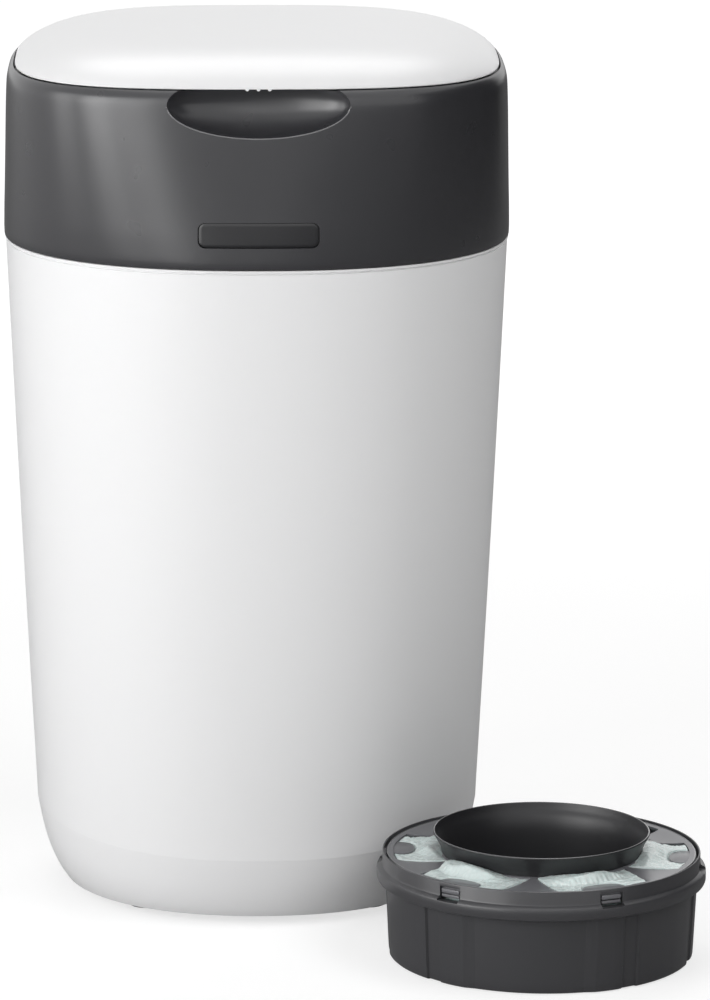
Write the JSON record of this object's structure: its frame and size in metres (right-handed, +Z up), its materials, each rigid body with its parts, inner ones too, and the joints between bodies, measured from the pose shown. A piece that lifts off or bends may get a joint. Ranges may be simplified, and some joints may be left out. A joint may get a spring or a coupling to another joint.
{
  "type": "nappy bin",
  "caption": "Tall rounded-square nappy bin: white tapered bucket, tilting grey head with domed lid, twist cup and chute flaps; a round film refill cassette stands beside it.",
  "frame": {"origin": "on the floor under the centre of the bucket, level with the soles of its feet", "axes": "+Z up, -Y towards the front with the finger scoop, +X to the user's right as they face the front"},
  "size_m": [0.362, 0.3756, 0.4614],
  "materials": {
    "white_shell": "fine satin moulding",
    "rubber": "matt",
    "steel": "fine turned",
    "head_grey": "fine spark texture, satin",
    "deck_grey": "satin moulding",
    "button_grey": "satin moulding",
    "lid_white": "semi-gloss moulding",
    "liner_grey": "satin moulding",
    "cup_grey": "satin moulding",
    "works_white": "satin moulding",
    "cassette_grey": "semi-gloss moulding",
    "core_grey": "smooth satin moulding",
    "cap_grey": "satin moulding",
    "film": "crumpled translucent film"
  },
  "bodies": {
    "bucket": {"bucket_shell": "white_shell", "rubber_feet": "rubber", "rim_gasket": "rubber", "catch_striker": "white_shell", "head_hinge_pin": "steel", "cassette_tub": "cassette_grey", "cassette_core": "core_grey", "cassette_cap": "cap_grey", "film_pleats": "film"},
    "head": {"collar_shell": "head_grey", "funnel_deck": "deck_grey", "deck_screws": "steel", "petal_ring": "deck_grey", "petal_pins": "steel", "ring_screws": "steel", "cutter_guard": "works_white", "cutter_blade": "steel", "pawl_pin": "steel", "lid_hinge_pin": "steel"},
    "lid": {"lid_panel": "lid_white", "lid_liner": "liner_grey", "lid_seal": "rubber", "liner_screws": "steel"},
    "rotor": {"twist_cup": "cup_grey", "click_ring": "works_white", "grip_pads": "rubber"},
    "pawl": {"click_pawl": "steel"},
    "button": {"release_button": "button_grey"},
    "flap_1": {"petal_1": "works_white"},
    "flap_2": {"petal_2": "works_white"},
    "flap_3": {"petal_3": "works_white"},
    "flap_4": {"petal_4": "works_white"},
    "flap_5": {"petal_5": "works_white"},
    "flap_6": {"petal_6": "works_white"}
  },
  "joints": [
    {"name": "head_hinge", "type": "hinge", "parent": "bucket", "child": "head", "pos_m": [0, 0.1354, 0.3465], "axis": [-1, 0, 0], "range_deg": [0, 95]},
    {"name": "lid_hinge", "type": "hinge", "parent": "head", "child": "lid", "pos_m": [0, 0.1245, 0.4345], "axis": [-1, 0, 0], "range_deg": [0, 100]},
    {"name": "twist", "type": "hinge", "parent": "head", "child": "rotor", "pos_m": [0, 0, 0.3644], "axis": [0, 0, 1], "continuous": true},
    {"name": "pawl_click", "type": "hinge", "parent": "head", "child": "pawl", "pos_m": [-0.02179, -0.08133, 0.358], "axis": [0, 0, 1], "range_deg": [0, 10], "stiffness_Nm_per_rad": 0.02, "springref_deg": -5.73},
    {"name": "button_press", "type": "slide", "parent": "head", "child": "button", "axis": [0, 1, 0], "range_m": [0, 0.004], "stiffness_N_per_m": 400, "springref_m": -0.002},
    {"name": "flap_1_hinge", "type": "hinge", "parent": "head", "child": "flap_1", "pos_m": [0.054, 0, 0.3459], "axis": [0, -1, 0], "range_deg": [0, 58], "stiffness_Nm_per_rad": 0.01, "springref_deg": -17.19},
    {"name": "flap_2_hinge", "type": "hinge", "parent": "head", "child": "flap_2", "pos_m": [0.027, 0.04677, 0.3459], "axis": [0.866, -0.5, 0], "range_deg": [0, 58], "stiffness_Nm_per_rad": 0.01, "springref_deg": -17.19},
    {"name": "flap_3_hinge", "type": "hinge", "parent": "head", "child": "flap_3", "pos_m": [-0.027, 0.04677, 0.3459], "axis": [0.866, 0.5, 0], "range_deg": [0, 58], "stiffness_Nm_per_rad": 0.01, "springref_deg": -17.19},
    {"name": "flap_4_hinge", "type": "hinge", "parent": "head", "child": "flap_4", "pos_m": [-0.054, 0, 0.3459], "axis": [0, 1, 0], "range_deg": [0, 58], "stiffness_Nm_per_rad": 0.01, "springref_deg": -17.19},
    {"name": "flap_5_hinge", "type": "hinge", "parent": "head", "child": "flap_5", "pos_m": [-0.027, -0.04677, 0.3459], "axis": [-0.866, 0.5, 0], "range_deg": [0, 58], "stiffness_Nm_per_rad": 0.01, "springref_deg": -17.19},
    {"name": "flap_6_hinge", "type": "hinge", "parent": "head", "child": "flap_6", "pos_m": [0.027, -0.04677, 0.3459], "axis": [-0.866, -0.5, 0], "range_deg": [0, 58], "stiffness_Nm_per_rad": 0.01, "springref_deg": -17.19}
  ],
  "couplings": [
    {"joint": "flap_2_hinge", "follows": "flap_1_hinge", "ratio": 1},
    {"joint": "flap_3_hinge", "follows": "flap_1_hinge", "ratio": 1},
    {"joint": "flap_4_hinge", "follows": "flap_1_hinge", "ratio": 1},
    {"joint": "flap_5_hinge", "follows": "flap_1_hinge", "ratio": 1},
    {"joint": "flap_6_hinge", "follows": "flap_1_hinge", "ratio": 1}
  ]
}
